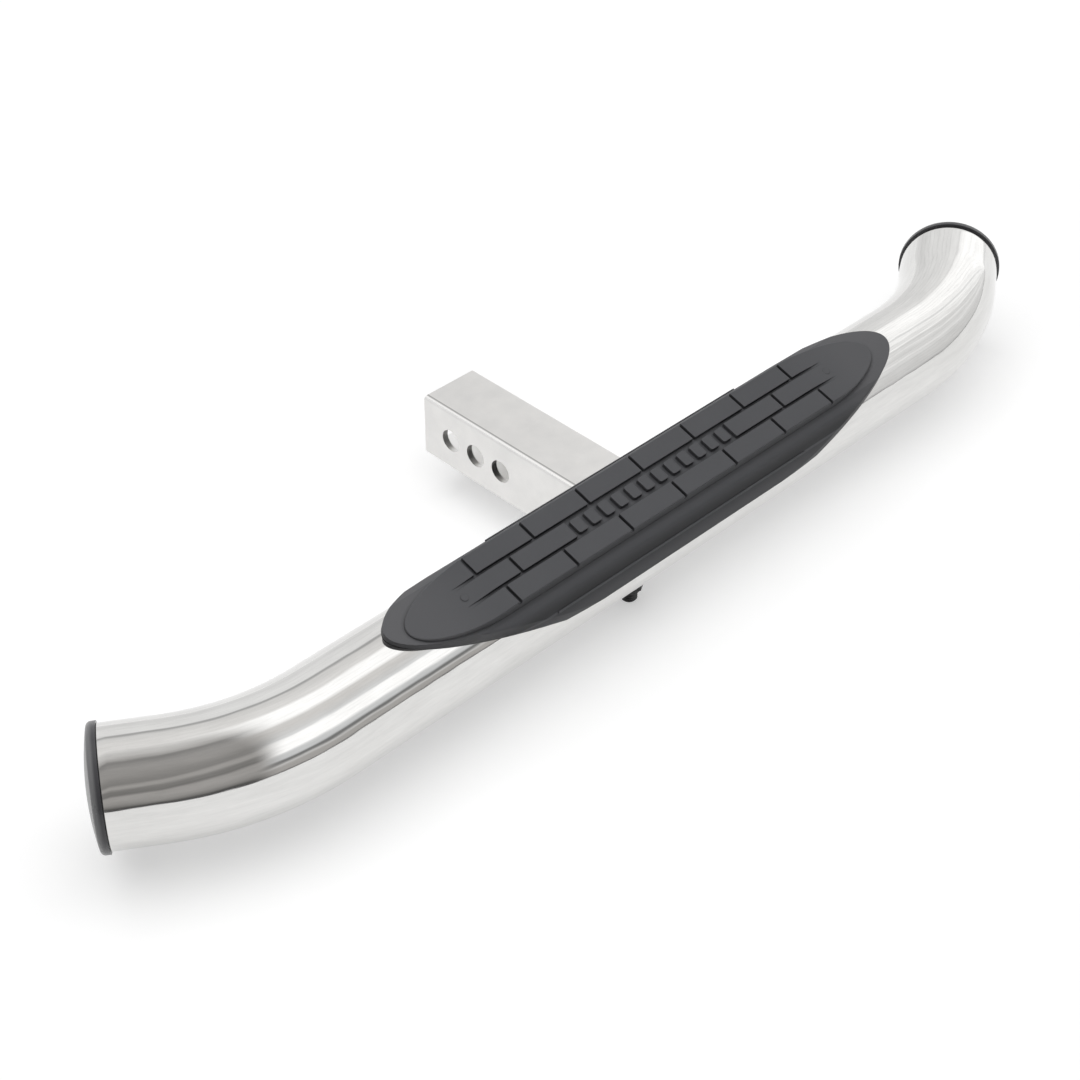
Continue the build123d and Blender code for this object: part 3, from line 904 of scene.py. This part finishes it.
def studio_dome_material():
    """What polished metal sees above the floor: soft strip lights that run along the tube.

    Two angles give the place on the dome: one about the X axis from overhead towards the front, and
    the lean towards +X out of the plane across the tube. A ramp over the first gives the strips;
    one ramp stands for the dark left front, one for the middle and one for the pale right side,
    mixed by the lean. Thin wavy lines, strongest on the right, break up the pale parts.
    """
    material = bpy.data.materials.new("studio dome")
    material.use_nodes = True
    tree = material.node_tree
    tree.nodes.clear()
    _, x, y, z = object_place(tree)
    around = add_math(tree, "ARCTAN2", add_math(tree, "MULTIPLY", y, -1.0), z)
    reach = add_math(tree, "MULTIPLY_ADD", y, y, add_math(tree, "MULTIPLY", z, z))
    lean = add_math(tree, "ARCTAN2", x, add_math(tree, "SQRT", reach))
    limit = math.radians(STRIP_LIMIT)
    spread = add_node(tree, "ShaderNodeMapRange", from_min=-limit, from_max=limit)
    connect(tree, spread, value=around)
    front, middle, right = (
        strip_ramp(tree, spread.outputs["Result"], stops)
        for stops in (DARK_FRONT, STRIP_LIGHTS, PALE_SIDE)
    )
    # The dark front's border leans over: it reaches further right overhead than at the front.
    border = add_math(tree, "MULTIPLY_ADD", around, BORDER_TILT, lean)
    to_middle = smooth_step(tree, border, *map(math.radians, DARK_BORDER))
    to_right = smooth_step(tree, lean, *map(math.radians, PALE_BORDER))
    strips = mix_colour(tree, to_right, mix_colour(tree, to_middle, front, middle), right)
    place = add_node(tree, "ShaderNodeCombineXYZ")
    connect(tree, place, x=lean, y=around)
    wave = add_node(
        tree, "ShaderNodeTexWave", bands_direction="Y",
        scale=3.2, distortion=5.0, detail=3.0, detail_scale=1.4,
    )
    connect(tree, wave, vector=place.outputs[0])
    thin = smooth_step(tree, wave.outputs["Fac"], *LINE_WIDTH)
    depth = smooth_step(tree, lean, *map(math.radians, LINE_BORDER), *LINE_DEPTH)
    strips = mix_colour(tree, add_math(tree, "MULTIPLY", thin, depth), strips, LINE_GREY)
    glow = add_node(tree, "ShaderNodeEmission")
    connect(tree, glow, color=strips)
    connect(tree, add_node(tree, "ShaderNodeOutputMaterial"), surface=glow.outputs[0])
    return material


def half_sphere(radius):
    """Points and faces of the upper half of a sphere: radius x (cos e cos a, cos e sin a, sin e).

    The last ring stops an angle of crown short of the top, and one face closes it.
    """
    crown = 1e-3
    rise = np.linspace(0, np.pi / 2 - crown, DOME_ROWS)[:, None]
    turn = np.linspace(0, 2 * np.pi, DOME_COLUMNS, endpoint=False)[None, :]
    points = np.stack(np.broadcast_arrays(
        np.cos(rise) * np.cos(turn), np.cos(rise) * np.sin(turn), np.sin(rise)
    ), axis=-1)
    faces = grid_faces(DOME_ROWS, DOME_COLUMNS, flip=True).tolist()
    return radius * points, faces + end_faces(DOME_ROWS, DOME_COLUMNS)[1:]


def looked_at(tree, otherwise, seen):
    """One value for rays from the camera, a reflection or a glass, another for all other rays."""
    path = add_node(tree, "ShaderNodeLightPath").outputs
    straight = add_math(tree, "MAXIMUM", path["Is Camera Ray"], path["Is Glossy Ray"])
    either = add_math(tree, "MAXIMUM", straight, path["Is Transmission Ray"])
    return range_of(tree, either, otherwise, seen)


def even_glow(tree, settings, ground):
    """White that makes up for the lamp's light on the floor as it fades with distance.

    At distance r from the point under the lamp it is far - (far - near) x e^(-(r / reach)^2).
    """
    away = add_node(tree, "ShaderNodeVectorMath", operation="DISTANCE")
    away.inputs[1].default_value = (*settings.lamp_place[:2], ground)
    tree.links.new(add_node(tree, "ShaderNodeTexCoord").outputs["Object"], away.inputs[0])
    ratio = add_math(tree, "DIVIDE", away.outputs["Value"], settings.glow_reach)
    square = add_math(tree, "MULTIPLY", ratio, ratio)
    lit = add_math(tree, "EXPONENT", add_math(tree, "MULTIPLY", square, -1.0))
    return range_of(tree, lit, settings.far_glow, settings.floor_glow)


def pale_floor(settings, ground):
    """A matt pale square under the object, white wherever no shadow falls on it."""
    material, tree, shader = new_material("pale floor")
    shader.inputs["Base Color"].default_value = (*settings.floor_tint, 1.0)
    shader.inputs["Roughness"].default_value = 0.9
    shader.inputs["Specular IOR Level"].default_value = 0.0
    shader.inputs["Emission Color"].default_value = (1, 1, 1, 1)
    glow = even_glow(tree, settings, ground)
    seen = add_math(tree, "MULTIPLY", looked_at(tree, 0.0, 1.0), glow)
    connect(tree, shader, emission_strength=seen)
    corners = np.array([[-1, -1, 0], [1, -1, 0], [1, 1, 0], [-1, 1, 0]])
    points = settings.floor_size / 2 * corners + [0, 0, ground]
    return mesh_object("floor", points, [[0, 1, 2, 3]], material)


def studio_dome(settings, ground):
    """The dome of strip lights, which only reflections see."""
    points, faces = half_sphere(settings.dome_radius)
    dome = mesh_object("studio_dome", points + [0, 0, ground], faces, studio_dome_material())
    dome.visible_camera = False
    dome.visible_diffuse = False
    dome.visible_shadow = False
    return dome


def hang_lamp(settings):
    """A wide square lamp overhead that points at the tube and shows in no reflection."""
    lamp = bpy.data.lights.new("overhead", "AREA")
    lamp.shape = "RECTANGLE"
    lamp.size = lamp.size_y = settings.lamp_size
    lamp.energy = settings.overhead
    light = bpy.data.objects.new("overhead", lamp)
    light.location = settings.lamp_place
    back = Vector(light.location) - TUBE_CENTRE
    light.rotation_euler = back.to_track_quat("Z", "Y").to_euler()
    light.visible_glossy = False
    bpy.context.scene.collection.objects.link(light)


def set_world(ambient):
    """White to the camera and to reflections, a plain even light for everything else."""
    world = bpy.data.worlds.new("studio")
    bpy.context.scene.world = world
    world.use_nodes = True
    tree = world.node_tree
    back = tree.nodes["Background"]
    back.inputs["Color"].default_value = (1, 1, 1, 1)
    tree.links.new(looked_at(tree, ambient, 1.0), back.inputs["Strength"])


def set_camera(settings):
    """Stands the camera on a sphere about the tube's middle, turned by its roll and slid aside."""
    azimuth, elevation, roll = settings.azimuth, settings.elevation, settings.roll
    back = Vector((
        math.sin(azimuth) * math.cos(elevation),
        -math.cos(azimuth) * math.cos(elevation),
        math.sin(elevation),
    ))
    level = Vector((0, 0, 1)).cross(back).normalized()
    rise = back.cross(level)
    right = level * math.cos(roll) + rise * math.sin(roll)
    up = rise * math.cos(roll) - level * math.sin(roll)
    data = bpy.data.cameras.new("camera")
    data.lens = settings.focal * data.sensor_width
    data.clip_end = 100.0
    camera = bpy.data.objects.new("camera", data)
    aside = right * settings.shift_right + up * settings.shift_up
    place = Matrix.Translation(TUBE_CENTRE + back * settings.distance + aside)
    camera.matrix_world = place @ Matrix((right, up, back)).transposed().to_4x4()
    bpy.context.scene.collection.objects.link(camera)
    bpy.context.scene.camera = camera


# Operators


class HITCHSTEP_OT_step_tube(Operator):
    """Builds the smooth polished tube in place of its solid"""

    bl_idname = "hitchstep.step_tube"
    bl_label = "Step tube"

    def execute(self, context):
        settings = context.scene.hitch_step
        piece = polished_tube(settings.tube)
        cut_tube(piece, settings.tube, settings.pad.roll)
        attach(piece, "root")
        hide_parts("step_tube")
        return {"FINISHED"}


class HITCHSTEP_OT_receiver_bar(Operator):
    """Gives the bar and its saddle their satin steel"""

    bl_idname = "hitchstep.receiver_bar"
    bl_label = "Receiver bar"

    def execute(self, context):
        dress(satin_steel(context.scene.hitch_step.bar), "receiver_bar", "bar_saddle")
        return {"FINISHED"}


class HITCHSTEP_OT_tread_pad(Operator):
    """Gives the tread pad its moulded rubber"""

    bl_idname = "hitchstep.tread_pad"
    bl_label = "Tread pad"

    def execute(self, context):
        dress(pad_rubber(context.scene.hitch_step.pad), "step_pad")
        return {"FINISHED"}


class HITCHSTEP_OT_end_caps(Operator):
    """Gives the end caps their moulded plastic"""

    bl_idname = "hitchstep.end_caps"
    bl_label = "End caps"

    def execute(self, context):
        settings = context.scene.hitch_step
        dress(cap_plastic(settings.caps, settings.tube), "left_end_cap", "right_end_cap")
        return {"FINISHED"}


class HITCHSTEP_OT_clamp(Operator):
    """Builds the threaded bolt in place of its solid and coats the clamp's other pieces"""

    bl_idname = "hitchstep.clamp"
    bl_label = "Clamp"

    def execute(self, context):
        settings = context.scene.hitch_step.clamp
        material = black_coating(settings)
        dress(material, "saddle_washer", "lock_washer", "lock_nut")
        bolt = threaded_bolt(settings, material)
        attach(bolt, "root")
        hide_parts("clamp_bolt")
        return {"FINISHED"}


class HITCHSTEP_OT_stage(Operator):
    """Sets up the floor, the dome that metal reflects, the lights and the camera"""

    bl_idname = "hitchstep.stage"
    bl_label = "Stage"

    def execute(self, context):
        settings = context.scene.hitch_step.stage
        ground = CAD_BOX[0][2] - settings.floor_gap
        floor = pale_floor(settings, ground)
        dome = studio_dome(settings, ground)
        hang_lamp(settings)
        set_world(settings.ambient)
        set_camera(settings)
        context.scene.view_settings.view_transform = "Standard"
        return {"FINISHED"}


OPERATORS = (
    HITCHSTEP_OT_step_tube,
    HITCHSTEP_OT_receiver_bar,
    HITCHSTEP_OT_tread_pad,
    HITCHSTEP_OT_end_caps,
    HITCHSTEP_OT_clamp,
    HITCHSTEP_OT_stage,
)


class HITCHSTEP_PT_panel(Panel):
    """Lists the pieces of the hitch receiver step"""

    bl_idname = "HITCHSTEP_PT_panel"
    bl_label = "Hitch receiver step"
    bl_space_type = "VIEW_3D"
    bl_region_type = "UI"
    bl_category = "Hitch step"

    def draw(self, context):
        for operator in OPERATORS:
            self.layout.operator(operator.bl_idname)


CLASSES = (
    StepTubeSettings,
    ReceiverBarSettings,
    TreadPadSettings,
    EndCapSettings,
    ClampSettings,
    StageSettings,
    HitchStepSettings,
    *OPERATORS,
    HITCHSTEP_PT_panel,
)


def register():
    """Registers the classes and the settings they share."""
    for item in CLASSES:
        bpy.utils.register_class(item)
    bpy.types.Scene.hitch_step = PointerProperty(type=HitchStepSettings)


def unregister():
    """Takes the settings and the classes away again."""
    del bpy.types.Scene.hitch_step
    for item in reversed(CLASSES):
        bpy.utils.unregister_class(item)


def main():
    """Registers the add-on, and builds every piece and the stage."""
    register()
    for operator in OPERATORS:
        family, name = operator.bl_idname.split(".")
        getattr(getattr(bpy.ops, family), name)()


if __name__ == "__main__":
    main()
